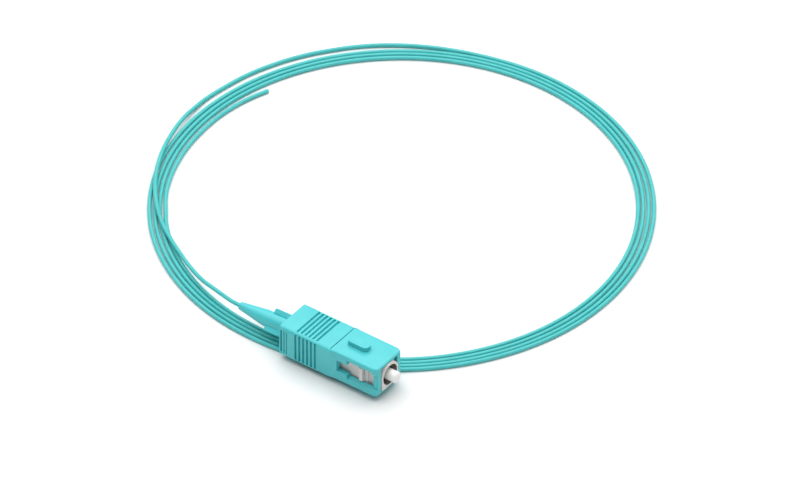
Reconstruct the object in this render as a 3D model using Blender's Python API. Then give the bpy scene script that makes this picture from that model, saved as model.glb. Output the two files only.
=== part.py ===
"""Fibre optic pigtail: a push-pull plug with a 2.5 mm ferrule on a coil of 0.9 mm buffered fibre.

The frame's origin is the centre of the ferrule's tip face. +X points out of the plug's mating
end, +Z points up through the key, and the plug lies on top of the coil. Design values are in
millimetres. A station is a distance back from the outer housing's front plane.
"""
import math

import bmesh
import bpy
from mathutils import Matrix, Vector

MM = 0.001

# Running and seating clearances
SEAT_GAP = 0.3
SLIDE_GAP = 0.25

# Ferrule and its flange
FERRULE_DIAMETER = 2.5
FERRULE_LENGTH = 10.5
FERRULE_REACH = 2.3
FERRULE_TIP_CHAMFER = 0.35
FERRULE_TRAVEL = 1.0
FLANGE_HEAD_DIAMETER = 4.0
FLANGE_HEAD_LENGTH = 2.0
FLANGE_TAIL_DIAMETER = 2.2
FLANGE_TAIL_LENGTH = 6.6

# Fibre, its coil and its bore through the plug
FIBRE_DIAMETER = 0.9
FIBRE_BORE = 1.04
COIL_TURNS = 4
COIL_PITCH = 1.12
COIL_OUTER_TURN_RADIUS = 52.7
COIL_CENTRE_X = -35.76
COIL_CENTRE_Y = 49.67

# Plug frame, whose front end has an arched top and stands proud of the housing
FRAME_WIDTH = 6.0
FRAME_HEIGHT = 5.6
FRAME_LENGTH = 18.15
FRAME_REACH = 0.25
FRAME_ARCH_WIDTH = 5.5
FRAME_ARCH_RADIUS = 2.6
FRAME_ARCH_LENGTH = 1.0
FRAME_ARCH_STEP = 0.2
FRAME_TOP_RADIUS = 1.2
FRAME_BOTTOM_RADIUS = 0.3
FRAME_BORE = 4.7
FRONT_BORE_DEPTH = 6.55
WEB_THICKNESS = 0.8
WEB_HOLE = 3.3
RIB_STATION = 3.9
RIB_LENGTH = 1.2
RIB_PROUD = 0.75
RIB_RAMP = 0.35
RIB_HEIGHT = 3.4

# Spring
SPRING_WIRE = 0.45
SPRING_MEAN_DIAMETER = 3.3
SPRING_LENGTH = 4.2
SPRING_TURNS = 4

# Rear body
REAR_FLANGE_THICKNESS = 1.6
REAR_TAIL_DIAMETER = 3.0
REAR_TAIL_LENGTH = 3.8

# Outer housing
HOUSING_LENGTH = 24.9
HOUSING_WIDTH = 9.0
HOUSING_HEIGHT = 7.4
HOUSING_EDGE_RADIUS = 0.5
NOSE_LENGTH = 1.3
NOSE_SIDE_INSET = 0.85
NOSE_TOP_INSET = 0.25
NOSE_BOTTOM_INSET = 0.5
GRIP_STATION = 11.85
GRIP_PROUD = 0.15
GRIP_TOP_EDGE_RADIUS = 0.9
CAVITY_CORNER_RADIUS = 0.25

# Key on the housing's top
KEY_STATION = 5.05
KEY_LENGTH = 4.75
KEY_WIDTH = 2.2
KEY_HEIGHT = 1.1
KEY_NOSE_RADIUS = 1.0

# Side windows of the housing
WINDOW_STATION = 1.2
WINDOW_LENGTH = 6.4
WINDOW_TOP = 2.65
WINDOW_BOTTOM = -2.35
WINDOW_SILL_RISE = 0.55
SLOT_LENGTH = 2.6
SLOT_HEIGHT = 2.7
PILLAR_RECESS_STATION = 0.75
PILLAR_RECESS_DEPTH = 0.15

# Grip grooves and the pocket near the housing's rear edge
GROOVE_COUNT = 6
GROOVE_STATION = 15.45
GROOVE_PITCH = 1.0
GROOVE_WIDTH = 0.45
GROOVE_DEPTH = 0.3
GROOVE_TOP_MARGIN = 0.75
GROOVE_SIDE_MARGIN = 0.5
POCKET_STATION = 22.9
POCKET_LENGTH = 1.7
POCKET_DEPTH = 0.15
POCKET_SLIT_WIDTH = 0.3
POCKET_SLIT_DEPTH = 0.35
POCKET_END_MARGIN = 0.9

# Boot
BOOT_COLLAR_DIAMETER = 5.4
BOOT_SOCKET_FLOOR = 0.8
BOOT_CORE_DIAMETER = 3.6
BOOT_CORE_LENGTH = 6.9
BOOT_CONE_LENGTH = 6.8
BOOT_TIP_DIAMETER = 1.7
BOOT_TIP_ROUND = 0.2
BOOT_SAG = 0.6
BOOT_SAG_RUN = 2.2
BOOT_BEND_STEPS = 6
FINGER_SAG = 0.2
FINGER_LENGTH = 5.9
UPPER_FINGER_OUTER_RADIUS = 2.45
UPPER_FINGER_THICKNESS = 0.75
LOWER_FINGER_OUTER_RADIUS = 2.8
LOWER_FINGER_INNER_RADIUS = 1.2
FINGER_WIDTH = 1.7
FINGER_ROOT = 0.7
FINGER_ROLL_DEGREES = 45.0

# Lead from the boot to the coil and tail from the coil to the cut end. Each point is an angle
# in degrees and a radius in mm about the coil's centre, and a height in mm above the floor.
LEAD_ROUTE = [
    (261.4, 49.88, 4.20),
    (257.7, 49.47, 3.70),
    (253.4, 49.16, 3.10),
    (248.9, 49.14, 2.55),
    (242.8, 49.00, 2.05),
    (235.5, 49.15, 1.75),
    (229.0, 49.75, 1.66),
    (223.5, 50.45, 1.66),
    (217.5, 51.10, 1.66),
    (211.0, 51.75, 1.66),
    (204.4, 52.35, 1.68),
    (197.0, 52.90, 1.68),
    (190.0, 53.38, 1.54),
    (184.5, 53.85, 1.25),
    (179.5, 54.20, 0.75),
    (173.5, 54.42, 0.47),
    (163.3, 54.40, 0.45),
    (154.3, 54.30, 0.45),
    (147.0, 54.15, 0.45),
    (141.0, 54.00, 0.45),
]
TAIL_ROUTE = [
    (187.0, 48.13, 0.45),
    (180.0, 48.13, 0.45),
    (174.5, 48.10, 0.45),
    (168.0, 47.92, 0.45),
    (162.6, 47.58, 0.45),
]

# Facets of round shapes
ROUND_FACETS = 24
COIL_FACETS = 72
CORNER_STEPS = 3
FRAME_CORNER_STEPS = 4

# Overshoot of a cutter past the face that it cuts through
OVERSHOOT = 1.0

# Sizes that follow from the ones above
HOUSING_TOP = HOUSING_HEIGHT / 2
HOUSING_BOTTOM = -HOUSING_TOP
GRIP_WIDTH = HOUSING_WIDTH + 2 * GRIP_PROUD
GRIP_BOTTOM = HOUSING_BOTTOM - GRIP_PROUD
CAVITY_WIDTH = FRAME_WIDTH + 2 * SLIDE_GAP
CAVITY_HEIGHT = FRAME_HEIGHT + 2 * SLIDE_GAP
CAVITY_TOP = CAVITY_HEIGHT / 2
FLOOR_Z = GRIP_BOTTOM - SEAT_GAP - FIBRE_DIAMETER

FERRULE_BACK = FERRULE_LENGTH - FERRULE_REACH
FRAME_FRONT = -FRAME_REACH
FRAME_BACK = FRAME_FRONT + FRAME_LENGTH
FRAME_TOP = FRAME_HEIGHT / 2
FRONT_BORE_FLOOR = FRAME_FRONT + FRONT_BORE_DEPTH
WEB_BACK = FRONT_BORE_FLOOR + WEB_THICKNESS
FLANGE_FRONT = WEB_BACK + SEAT_GAP
HEAD_BACK = FLANGE_FRONT + FLANGE_HEAD_LENGTH
FLANGE_BACK = HEAD_BACK + FLANGE_TAIL_LENGTH
SPRING_FRONT = HEAD_BACK + SEAT_GAP
SPRING_BACK = SPRING_FRONT + SPRING_LENGTH
REAR_NOSE_FRONT = SPRING_BACK + SEAT_GAP
REAR_FLANGE_FRONT = FRAME_BACK + SEAT_GAP
REAR_FLANGE_BACK = REAR_FLANGE_FRONT + REAR_FLANGE_THICKNESS
REAR_BODY_BACK = REAR_FLANGE_BACK + REAR_TAIL_LENGTH
BOOT_FRONT = REAR_FLANGE_BACK + SEAT_GAP
BOOT_SOCKET_BACK = REAR_BODY_BACK + SEAT_GAP
BOOT_COLLAR_BACK = BOOT_SOCKET_BACK + BOOT_SOCKET_FLOOR
BOOT_CORE_BACK = BOOT_COLLAR_BACK + BOOT_CORE_LENGTH
BOOT_BACK = BOOT_CORE_BACK + BOOT_CONE_LENGTH

AQUA = (0.07, 0.62, 0.60, 1.0)
AQUA_FIBRE = (0.06, 0.55, 0.52, 1.0)
IVORY = (0.80, 0.78, 0.74, 1.0)
CERAMIC_WHITE = (0.90, 0.90, 0.88, 1.0)
NICKEL = (0.66, 0.64, 0.60, 1.0)
SPRING_STEEL = (0.56, 0.56, 0.58, 1.0)


def along(station):
    """X in millimetres of a station behind the housing's front plane."""
    return -(FERRULE_REACH + station)


def clear_scene():
    """Empty the scene that the script starts in."""
    for item in list(bpy.data.objects):
        bpy.data.objects.remove(item, do_unlink=True)


def make_material(name, colour, roughness, metallic=0.0):
    """A Principled material of one colour."""
    material = bpy.data.materials.new(name)
    material.use_nodes = True
    shader = material.node_tree.nodes["Principled BSDF"]
    shader.inputs["Base Color"].default_value = colour
    shader.inputs["Roughness"].default_value = roughness
    shader.inputs["Metallic"].default_value = metallic
    return material


def finish_object(name, bm, material=None, smooth_degrees=35.0):
    """Turn a bmesh in millimetres into a named object in metres."""
    bmesh.ops.remove_doubles(bm, verts=bm.verts, dist=0.0005)
    bmesh.ops.recalc_face_normals(bm, faces=bm.faces)
    bmesh.ops.scale(bm, verts=bm.verts, vec=(MM, MM, MM))
    mesh = bpy.data.meshes.new(name)
    bm.to_mesh(mesh)
    bm.free()
    mesh.shade_smooth()
    mesh.set_sharp_from_angle(angle=math.radians(smooth_degrees))
    item = bpy.data.objects.new(name, mesh)
    bpy.context.scene.collection.objects.link(item)
    if material:
        mesh.materials.append(material)
    return item


def rounded_outline(width, top, bottom, top_radius, bottom_radius, steps=CORNER_STEPS):
    """Points (y, z) round a rectangle with rounded corners, between two heights."""
    half = width / 2
    corners = [
        (half - top_radius, top - top_radius, top_radius, 0.0),
        (-half + top_radius, top - top_radius, top_radius, 90.0),
        (-half + bottom_radius, bottom + bottom_radius, bottom_radius, 180.0),
        (half - bottom_radius, bottom + bottom_radius, bottom_radius, 270.0),
    ]
    points = []
    for centre_y, centre_z, radius, start in corners:
        for step in range(steps + 1):
            angle = math.radians(start + 90.0 * step / steps)
            points.append((centre_y + radius * math.cos(angle), centre_z + radius * math.sin(angle)))
    return points


def loft_sections(bm, sections):
    """Closed body through outlines (y, z), each at its own station."""
    loops = []
    for station, outline in sections:
        loops.append([bm.verts.new((along(station), y, z)) for y, z in outline])
    count = len(loops[0])
    for front, back in zip(loops, loops[1:]):
        for i in range(count):
            j = (i + 1) % count
            bm.faces.new((front[i], front[j], back[j], back[i]))
    bm.faces.new(loops[0])
    bm.faces.new(loops[-1])


def spin_profile(bm, points, facets, centre, axis, closed):
    """Turn a profile of 3-D points once round an axis."""
    verts = [bm.verts.new(point) for point in points]
    edges = [bm.edges.new(pair) for pair in zip(verts, verts[1:])]
    if closed:
        edges.append(bm.edges.new((verts[-1], verts[0])))
    bmesh.ops.spin(
        bm, geom=verts + edges, cent=centre, axis=axis, dvec=(0, 0, 0),
        angle=2 * math.pi, steps=facets, use_merge=True, use_duplicate=False,
    )


def sag_at(station, depth):
    """How far the boot hangs below the axis at a station, given its depth at the far end."""
    run = max(station - BOOT_COLLAR_BACK, 0.0)
    return depth * (1 - math.exp(-run / BOOT_SAG_RUN))


def sag_form(bm, depth):
    """Lower a form in millimetres by the boot's sag."""
    for vert in bm.verts:
        vert.co.z -= sag_at(-vert.co.x - FERRULE_REACH, depth)


def turned_on_axis(name, profile, material, closed, sag=0.0):
    """Solid turned about the plug's axis from a profile of (station, radius) points."""
    bm = bmesh.new()
    points = [(along(station), 0.0, radius) for station, radius in profile]
    spin_profile(bm, points, ROUND_FACETS, (0, 0, 0), (1, 0, 0), closed)
    sag_form(bm, sag)
    return finish_object(name, bm, material)


def box_between(bm, low, high):
    """Box between two corners, in millimetres."""
    low = Vector(low)
    high = Vector(high)
    size = high - low
    matrix = Matrix.Translation((low + high) / 2) @ Matrix.Diagonal((*size, 1.0))
    bmesh.ops.create_cube(bm, size=1.0, matrix=matrix)


def prism(bm, outline, direction):
    """Extrude a flat outline of 3-D points along a direction."""
    base = bm.faces.new([bm.verts.new(point) for point in outline])
    result = bmesh.ops.extrude_face_region(bm, geom=[base])
    moved = [item for item in result["geom"] if isinstance(item, bmesh.types.BMVert)]
    bmesh.ops.translate(bm, verts=moved, vec=direction)


def as_tool(item):
    """Mark an object that only shapes another one."""
    item.hide_render = True
    item.display_type = "WIRE"
    return item


def apply_tool(item, tool, operation):
    """Add a Boolean modifier that joins or cuts a piece with a tool object."""
    modifier = item.modifiers.new(tool.name, "BOOLEAN")
    modifier.operation = operation
    modifier.solver = "EXACT"
    modifier.object = as_tool(tool)


def mirrored_sides():
    """The plug's two sides: +1 for +Y and -1 for -Y."""
    return (1, -1)


def housing_envelope(material):
    """Outer form of the housing: rounded nose, front part and the grip with its rounder top edges."""
    sections = []
    for step in range(CORNER_STEPS + 1):
        angle = math.radians(90.0 * step / CORNER_STEPS)
        share = 1 - math.sin(angle)
        outline = rounded_outline(
            HOUSING_WIDTH - 2 * NOSE_SIDE_INSET * share, HOUSING_TOP - NOSE_TOP_INSET * share,
            HOUSING_BOTTOM + NOSE_BOTTOM_INSET * share, HOUSING_EDGE_RADIUS, HOUSING_EDGE_RADIUS,
        )
        sections.append((NOSE_LENGTH * (1 - math.cos(angle)), outline))
    front = rounded_outline(
        HOUSING_WIDTH, HOUSING_TOP, HOUSING_BOTTOM, HOUSING_EDGE_RADIUS, HOUSING_EDGE_RADIUS,
    )
    grip = rounded_outline(GRIP_WIDTH, HOUSING_TOP, GRIP_BOTTOM, GRIP_TOP_EDGE_RADIUS, HOUSING_EDGE_RADIUS)
    sections.append((GRIP_STATION, front))
    sections.append((GRIP_STATION + GRIP_PROUD / 2, grip))
    sections.append((HOUSING_LENGTH, grip))
    bm = bmesh.new()
    loft_sections(bm, sections)
    return finish_object("outer_housing", bm, material)


def housing_key():
    """Key on the top face, with a rounded nose."""
    bm = bmesh.new()
    half = KEY_WIDTH / 2
    outline = [(KEY_STATION + KEY_LENGTH, -half), (KEY_STATION + KEY_LENGTH, half)]
    for side in mirrored_sides():
        for step in range(CORNER_STEPS + 1):
            turn = step / CORNER_STEPS if side > 0 else 1 - step / CORNER_STEPS
            angle = math.radians(90.0 * turn)
            station = KEY_STATION + KEY_NOSE_RADIUS * (1 - math.sin(angle))
            y = side * (half - KEY_NOSE_RADIUS * (1 - math.cos(angle)))
            outline.append((station, y))
    root_z = HOUSING_TOP - HOUSING_EDGE_RADIUS
    points = [(along(station), y, root_z) for station, y in outline]
    prism(bm, points, (0, 0, KEY_HEIGHT + HOUSING_EDGE_RADIUS))
    return finish_object("key_form", bm)


def housing_cavity():
    """Through passage of the housing that the plug frame slides in."""
    outline = rounded_outline(
        CAVITY_WIDTH, CAVITY_TOP, -CAVITY_TOP, CAVITY_CORNER_RADIUS, CAVITY_CORNER_RADIUS, 1,
    )
    bm = bmesh.new()
    loft_sections(bm, [(-OVERSHOOT, outline), (HOUSING_LENGTH + OVERSHOOT, outline)])
    return finish_object("cavity_form", bm)


def housing_windows():
    """Stepped windows through both side walls, each with a sill that slopes outwards."""
    bm = bmesh.new()
    inner = CAVITY_WIDTH / 2 - SLIDE_GAP
    outer = HOUSING_WIDTH / 2 + OVERSHOOT
    wall = HOUSING_WIDTH / 2 - CAVITY_WIDTH / 2
    middle = (WINDOW_TOP + WINDOW_BOTTOM) / 2
    slot_top = middle + SLOT_HEIGHT / 2
    slot_bottom = middle - SLOT_HEIGHT / 2
    sill_top = WINDOW_BOTTOM + WINDOW_SILL_RISE
    wide_back = WINDOW_STATION + WINDOW_LENGTH
    slot_back = wide_back + SLOT_LENGTH
    outline = [
        (WINDOW_STATION, WINDOW_TOP), (wide_back, WINDOW_TOP), (wide_back, slot_top),
        (slot_back, slot_top), (slot_back, slot_bottom), (wide_back, slot_bottom),
        (wide_back, sill_top), (WINDOW_STATION, sill_top),
    ]
    for side in mirrored_sides():
        points = [(along(station), side * inner, z) for station, z in outline]
        prism(bm, points, (0, side * (outer - inner), 0))
    cut = finish_object("window_form", bm)
    sill = bmesh.new()
    sill_inner_y = CAVITY_WIDTH / 2
    sill_outer_z = sill_top - WINDOW_SILL_RISE / wall * (outer - sill_inner_y)
    for side in mirrored_sides():
        wedge = [(side * sill_inner_y, sill_top), (side * outer, sill_outer_z), (side * outer, sill_top)]
        points = [(along(WINDOW_STATION), y, z) for y, z in wedge]
        prism(sill, points, (-WINDOW_LENGTH, 0, 0))
    return cut, finish_object("sill_form", sill)


def housing_grooves():
    """Grip grooves across the top, the bottom and both sides."""
    bm = bmesh.new()
    top_half = GRIP_WIDTH / 2 - GROOVE_TOP_MARGIN
    side_low = GRIP_BOTTOM + GROOVE_SIDE_MARGIN
    side_high = HOUSING_TOP - GROOVE_SIDE_MARGIN
    for index in range(GROOVE_COUNT):
        start = GROOVE_STATION + index * GROOVE_PITCH
        back = along(start + GROOVE_WIDTH)
        front = along(start)
        box_between(
            bm, (back, -top_half, HOUSING_TOP - GROOVE_DEPTH), (front, top_half, HOUSING_TOP + OVERSHOOT),
        )
        box_between(
            bm, (back, -top_half, GRIP_BOTTOM - OVERSHOOT), (front, top_half, GRIP_BOTTOM + GROOVE_DEPTH),
        )
        for side in mirrored_sides():
            floor_y = side * (GRIP_WIDTH / 2 - GROOVE_DEPTH)
            over_y = side * (GRIP_WIDTH / 2 + OVERSHOOT)
            box_between(
                bm, (back, min(floor_y, over_y), side_low), (front, max(floor_y, over_y), side_high),
            )
    return finish_object("groove_form", bm)


def housing_side_cut(name, start, end, face_y, depth, low_z, high_z):
    """Shallow rectangular cut in both side faces, between two stations and two heights."""
    bm = bmesh.new()
    for side in mirrored_sides():
        floor_y = side * (face_y - depth)
        over_y = side * (face_y + OVERSHOOT)
        low = (along(end), min(floor_y, over_y), low_z)
        high = (along(start), max(floor_y, over_y), high_z)
        box_between(bm, low, high)
    return finish_object(name, bm)


def housing_side_relief():
    """Rear pocket, its deeper slit by the rear edge, and the recess of the front pillar."""
    pocket_low = GRIP_BOTTOM + POCKET_END_MARGIN
    pocket_high = HOUSING_TOP - POCKET_END_MARGIN
    pocket_back = POCKET_STATION + POCKET_LENGTH
    grip_face = GRIP_WIDTH / 2
    slit_front = pocket_back - POCKET_SLIT_WIDTH
    recess_back = WINDOW_STATION + WINDOW_SILL_RISE
    return [
        housing_side_cut(
            "pocket_form", POCKET_STATION, pocket_back, grip_face, POCKET_DEPTH, pocket_low, pocket_high,
        ),
        housing_side_cut(
            "slit_form", slit_front, pocket_back, grip_face, POCKET_SLIT_DEPTH, pocket_low, pocket_high,
        ),
        housing_side_cut(
            "recess_form", PILLAR_RECESS_STATION, recess_back, HOUSING_WIDTH / 2, PILLAR_RECESS_DEPTH,
            WINDOW_BOTTOM + WINDOW_SILL_RISE, WINDOW_TOP - WINDOW_SILL_RISE,
        ),
    ]


def build_outer_housing(material):
    """Aqua shell with key, cavity, windows and grip."""
    housing = housing_envelope(material)
    apply_tool(housing, housing_key(), "UNION")
    apply_tool(housing, housing_cavity(), "DIFFERENCE")
    window, sill = housing_windows()
    apply_tool(housing, window, "DIFFERENCE")
    apply_tool(housing, sill, "DIFFERENCE")
    apply_tool(housing, housing_grooves(), "DIFFERENCE")
    for tool in housing_side_relief():
        apply_tool(housing, tool, "DIFFERENCE")
    return housing


def frame_outline(width=FRAME_WIDTH, top_radius=FRAME_TOP_RADIUS):
    """Cross-section of the plug frame: square foot and a rounded top."""
    return rounded_outline(
        width, FRAME_TOP, -FRAME_TOP, top_radius, FRAME_BOTTOM_RADIUS, FRAME_CORNER_STEPS,
    )


def frame_ribs():
    """Latch ribs on the sides of the plug frame, each with a ramp at its front."""
    bm = bmesh.new()
    root = FRAME_WIDTH / 2 - RIB_PROUD / 2
    crest = FRAME_WIDTH / 2 + RIB_PROUD
    outline = [
        (RIB_STATION, root), (RIB_STATION, FRAME_WIDTH / 2), (RIB_STATION + RIB_RAMP, crest),
        (RIB_STATION + RIB_LENGTH, crest), (RIB_STATION + RIB_LENGTH, root),
    ]
    for side in mirrored_sides():
        points = [(along(station), side * y, -RIB_HEIGHT / 2) for station, y in outline]
        prism(bm, points, (0, 0, RIB_HEIGHT))
    return finish_object("rib_form", bm)


def build_plug_frame(material):
    """Ivory inner body: front socket, web, spring chamber and latch ribs."""
    bm = bmesh.new()
    arch = frame_outline(FRAME_ARCH_WIDTH, FRAME_ARCH_RADIUS)
    loft_sections(bm, [
        (FRAME_FRONT, arch), (FRAME_ARCH_LENGTH, arch),
        (FRAME_ARCH_LENGTH + FRAME_ARCH_STEP, frame_outline()), (FRAME_BACK, frame_outline()),
    ])
    frame = finish_object("plug_frame", bm, material)
    apply_tool(frame, frame_ribs(), "UNION")
    bore = FRAME_BORE / 2
    hole = WEB_HOLE / 2
    profile = [
        (-OVERSHOOT, 0.0), (-OVERSHOOT, bore), (FRONT_BORE_FLOOR, bore), (FRONT_BORE_FLOOR, hole),
        (WEB_BACK, hole), (WEB_BACK, bore), (FRAME_BACK + OVERSHOOT, bore), (FRAME_BACK + OVERSHOOT, 0.0),
    ]
    apply_tool(frame, turned_on_axis("frame_bore_form", profile, None, False), "DIFFERENCE")
    return frame


def build_ferrule(material):
    """Ceramic ferrule with a chamfered tip."""
    radius = FERRULE_DIAMETER / 2
    tip = -FERRULE_REACH
    profile = [
        (tip, 0.0), (tip, radius - FERRULE_TIP_CHAMFER), (tip + FERRULE_TIP_CHAMFER, radius),
        (FERRULE_BACK, radius), (FERRULE_BACK, 0.0),
    ]
    return turned_on_axis("ferrule", profile, material, False)


def build_ferrule_flange(material):
    """Metal flange that holds the ferrule's back end, with a tail inside the spring."""
    pocket = FERRULE_DIAMETER / 2 + SEAT_GAP
    pocket_back = FERRULE_BACK + SEAT_GAP
    head = FLANGE_HEAD_DIAMETER / 2
    tail = FLANGE_TAIL_DIAMETER / 2
    bore = FIBRE_BORE / 2
    profile = [
        (FLANGE_FRONT, pocket), (FLANGE_FRONT, head), (HEAD_BACK, head), (HEAD_BACK, tail),
        (FLANGE_BACK, tail), (FLANGE_BACK, bore), (pocket_back, bore), (pocket_back, pocket),
    ]
    return turned_on_axis("ferrule_flange", profile, material, True)


def build_spring(material):
    """Helical compression spring between the flange's head and the rear body's nose."""
    points_per_turn = 12
    count = SPRING_TURNS * points_per_turn
    coil_length = SPRING_LENGTH - SPRING_WIRE
    start = SPRING_FRONT + SPRING_WIRE / 2
    curve = bpy.data.curves.new("spring", "CURVE")
    curve.dimensions = "3D"
    curve.bevel_depth = SPRING_WIRE / 2 * MM
    curve.bevel_resolution = 1
    curve.use_fill_caps = True
    spline = curve.splines.new("POLY")
    spline.points.add(count)
    for index in range(count + 1):
        angle = 2 * math.pi * index / points_per_turn
        x = along(start + coil_length * index / count)
        y = SPRING_MEAN_DIAMETER / 2 * math.cos(angle)
        z = SPRING_MEAN_DIAMETER / 2 * math.sin(angle)
        spline.points[index].co = (x * MM, y * MM, z * MM, 1.0)
    curve.materials.append(material)
    item = bpy.data.objects.new("spring", curve)
    bpy.context.scene.collection.objects.link(item)
    return item


def build_rear_body(material):
    """Stop that closes the plug frame: nose in the frame's bore, flange and boot tail."""
    nose = FRAME_BORE / 2 - SEAT_GAP
    wide = FLANGE_TAIL_DIAMETER / 2 + SEAT_GAP
    wide_back = FLANGE_BACK + FERRULE_TRAVEL + SEAT_GAP
    bore = FIBRE_BORE / 2
    tail = REAR_TAIL_DIAMETER / 2
    profile = [
        (REAR_NOSE_FRONT, wide), (REAR_NOSE_FRONT, nose), (REAR_FLANGE_BACK, nose), (REAR_FLANGE_BACK, tail),
        (REAR_BODY_BACK, tail), (REAR_BODY_BACK, bore), (wide_back, bore), (wide_back, wide),
    ]
    body = turned_on_axis("rear_body", profile, material, True)
    bm = bmesh.new()
    middle = (REAR_FLANGE_FRONT + REAR_FLANGE_BACK) / 2
    loft_sections(bm, [(REAR_FLANGE_FRONT, frame_outline()), (REAR_FLANGE_BACK, frame_outline())])
    flange = finish_object("rear_flange_form", bm)
    hole_profile = [
        (middle - REAR_FLANGE_THICKNESS, 0.0), (middle - REAR_FLANGE_THICKNESS, wide),
        (middle + REAR_FLANGE_THICKNESS, wide), (middle + REAR_FLANGE_THICKNESS, 0.0),
    ]
    apply_tool(flange, turned_on_axis("rear_flange_hole_form", hole_profile, None, False), "DIFFERENCE")
    apply_tool(body, flange, "UNION")
    return body


def boot_fingers():
    """Upper finger that stands off the boot's core and lower one that lies against it."""
    bm = bmesh.new()
    front = along(BOOT_COLLAR_BACK - FINGER_ROOT)
    back = along(BOOT_COLLAR_BACK + FINGER_LENGTH)
    upper_inner = UPPER_FINGER_OUTER_RADIUS - UPPER_FINGER_THICKNESS
    for roll_degrees, inner, outer in (
        (FINGER_ROLL_DEGREES, upper_inner, UPPER_FINGER_OUTER_RADIUS),
        (FINGER_ROLL_DEGREES + 180.0, LOWER_FINGER_INNER_RADIUS, LOWER_FINGER_OUTER_RADIUS),
    ):
        finger = bmesh.new()
        box_between(finger, (back, inner, -FINGER_WIDTH / 2), (front, outer, FINGER_WIDTH / 2))
        turn = Matrix.Rotation(math.radians(roll_degrees), 4, "X")
        bmesh.ops.transform(finger, matrix=turn, verts=finger.verts)
        mesh = bpy.data.meshes.new("finger")
        finger.to_mesh(mesh)
        finger.free()
        bm.from_mesh(mesh)
        bpy.data.meshes.remove(mesh)
    sag_form(bm, FINGER_SAG)
    return finish_object("finger_form", bm)


def build_boot(material):
    """Boot: collar inside the housing, and a core, a cone and two fingers that sag a little."""
    socket = REAR_TAIL_DIAMETER / 2 + SEAT_GAP
    collar = BOOT_COLLAR_DIAMETER / 2
    core = BOOT_CORE_DIAMETER / 2
    tip = BOOT_TIP_DIAMETER / 2
    bore = FIBRE_BORE / 2
    bends = [BOOT_COLLAR_BACK + BOOT_CORE_LENGTH * step / BOOT_BEND_STEPS for step in range(BOOT_BEND_STEPS + 1)]
    profile = [(BOOT_FRONT, socket), (BOOT_FRONT, collar), (BOOT_COLLAR_BACK, collar)]
    profile += [(station, core) for station in bends]
    profile += [(BOOT_BACK - BOOT_TIP_ROUND, tip), (BOOT_BACK, tip - BOOT_TIP_ROUND / 2), (BOOT_BACK, bore)]
    profile += [(station, bore) for station in reversed(bends)]
    profile += [(BOOT_SOCKET_BACK, bore), (BOOT_SOCKET_BACK, socket)]
    boot = turned_on_axis("boot", profile, material, True, BOOT_SAG)
    apply_tool(boot, boot_fingers(), "UNION")
    return boot


def route_points(route):
    """Places in millimetres for a list of (angle, radius, height) about the coil's centre."""
    places = []
    for degrees, radius, height in route:
        angle = math.radians(degrees)
        x = COIL_CENTRE_X + radius * math.cos(angle)
        y = COIL_CENTRE_Y + radius * math.sin(angle)
        places.append(Vector((x, y, FLOOR_Z + height)))
    return places


def smooth_curve(places, steps):
    """Points of a smooth curve that passes through every place."""
    padded = [2 * places[0] - places[1]] + places + [2 * places[-1] - places[-2]]
    points = []
    for before, start, end, after in zip(padded, padded[1:], padded[2:], padded[3:]):
        for step in range(steps):
            t = step / steps
            points.append(
                0.5 * (
                    2 * start + (end - before) * t
                    + (2 * before - 5 * start + 4 * end - after) * t ** 2
                    + (3 * start - before - 3 * end + after) * t ** 3
                )
            )
    points.append(places[-1])
    return points


def build_tube(name, places, steps, material):
    """Round tube of the fibre's diameter through the given places."""
    points = smooth_curve(places, steps)
    curve = bpy.data.curves.new(name, "CURVE")
    curve.dimensions = "3D"
    curve.bevel_depth = FIBRE_DIAMETER / 2 * MM
    curve.bevel_resolution = 2
    curve.use_fill_caps = True
    spline = curve.splines.new("POLY")
    spline.points.add(len(points) - 1)
    for point, place in zip(spline.points, points):
        point.co = (*(place * MM), 1.0)
    curve.materials.append(material)
    item = bpy.data.objects.new(name, curve)
    bpy.context.scene.collection.objects.link(item)
    return item


def build_lead(material):
    """Free stretch of the fibre: out of the boot, over the coil and round its outside."""
    boot_end = BOOT_BACK + SEAT_GAP
    first = [Vector((along(boot_end), 0.0, -sag_at(boot_end, BOOT_SAG)))]
    return build_tube("fibre_lead", first + route_points(LEAD_ROUTE), 4, material)


def build_tail(material):
    """Last stretch of the fibre, inside the coil, which ends cut off."""
    return build_tube("fibre_tail", route_points(TAIL_ROUTE), 4, material)


def build_coil(material):
    """Flat coil as one turned solid whose turns show on both faces."""
    radius = FIBRE_DIAMETER / 2
    middle_z = FLOOR_Z + radius
    arc_degrees = (165.0, 90.0, 15.0)
    upper = []
    lower = []
    for turn in reversed(range(COIL_TURNS)):
        turn_radius = COIL_OUTER_TURN_RADIUS - turn * COIL_PITCH
        for degrees in arc_degrees:
            angle = math.radians(degrees)
            offset = radius * math.cos(angle)
            rise = radius * math.sin(angle)
            upper.append((turn_radius + offset, middle_z + rise))
            lower.append((turn_radius + offset, middle_z - rise))
    outside = (COIL_OUTER_TURN_RADIUS + radius, middle_z)
    inside = (COIL_OUTER_TURN_RADIUS - (COIL_TURNS - 1) * COIL_PITCH - radius, middle_z)
    profile = upper + [outside] + lower[::-1] + [inside]
    bm = bmesh.new()
    points = [(COIL_CENTRE_X + distance, COIL_CENTRE_Y, z) for distance, z in profile]
    spin_profile(bm, points, COIL_FACETS, (COIL_CENTRE_X, COIL_CENTRE_Y, 0), (0, 0, 1), True)
    return finish_object("fibre_coil", bm, material, smooth_degrees=80.0)


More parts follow.
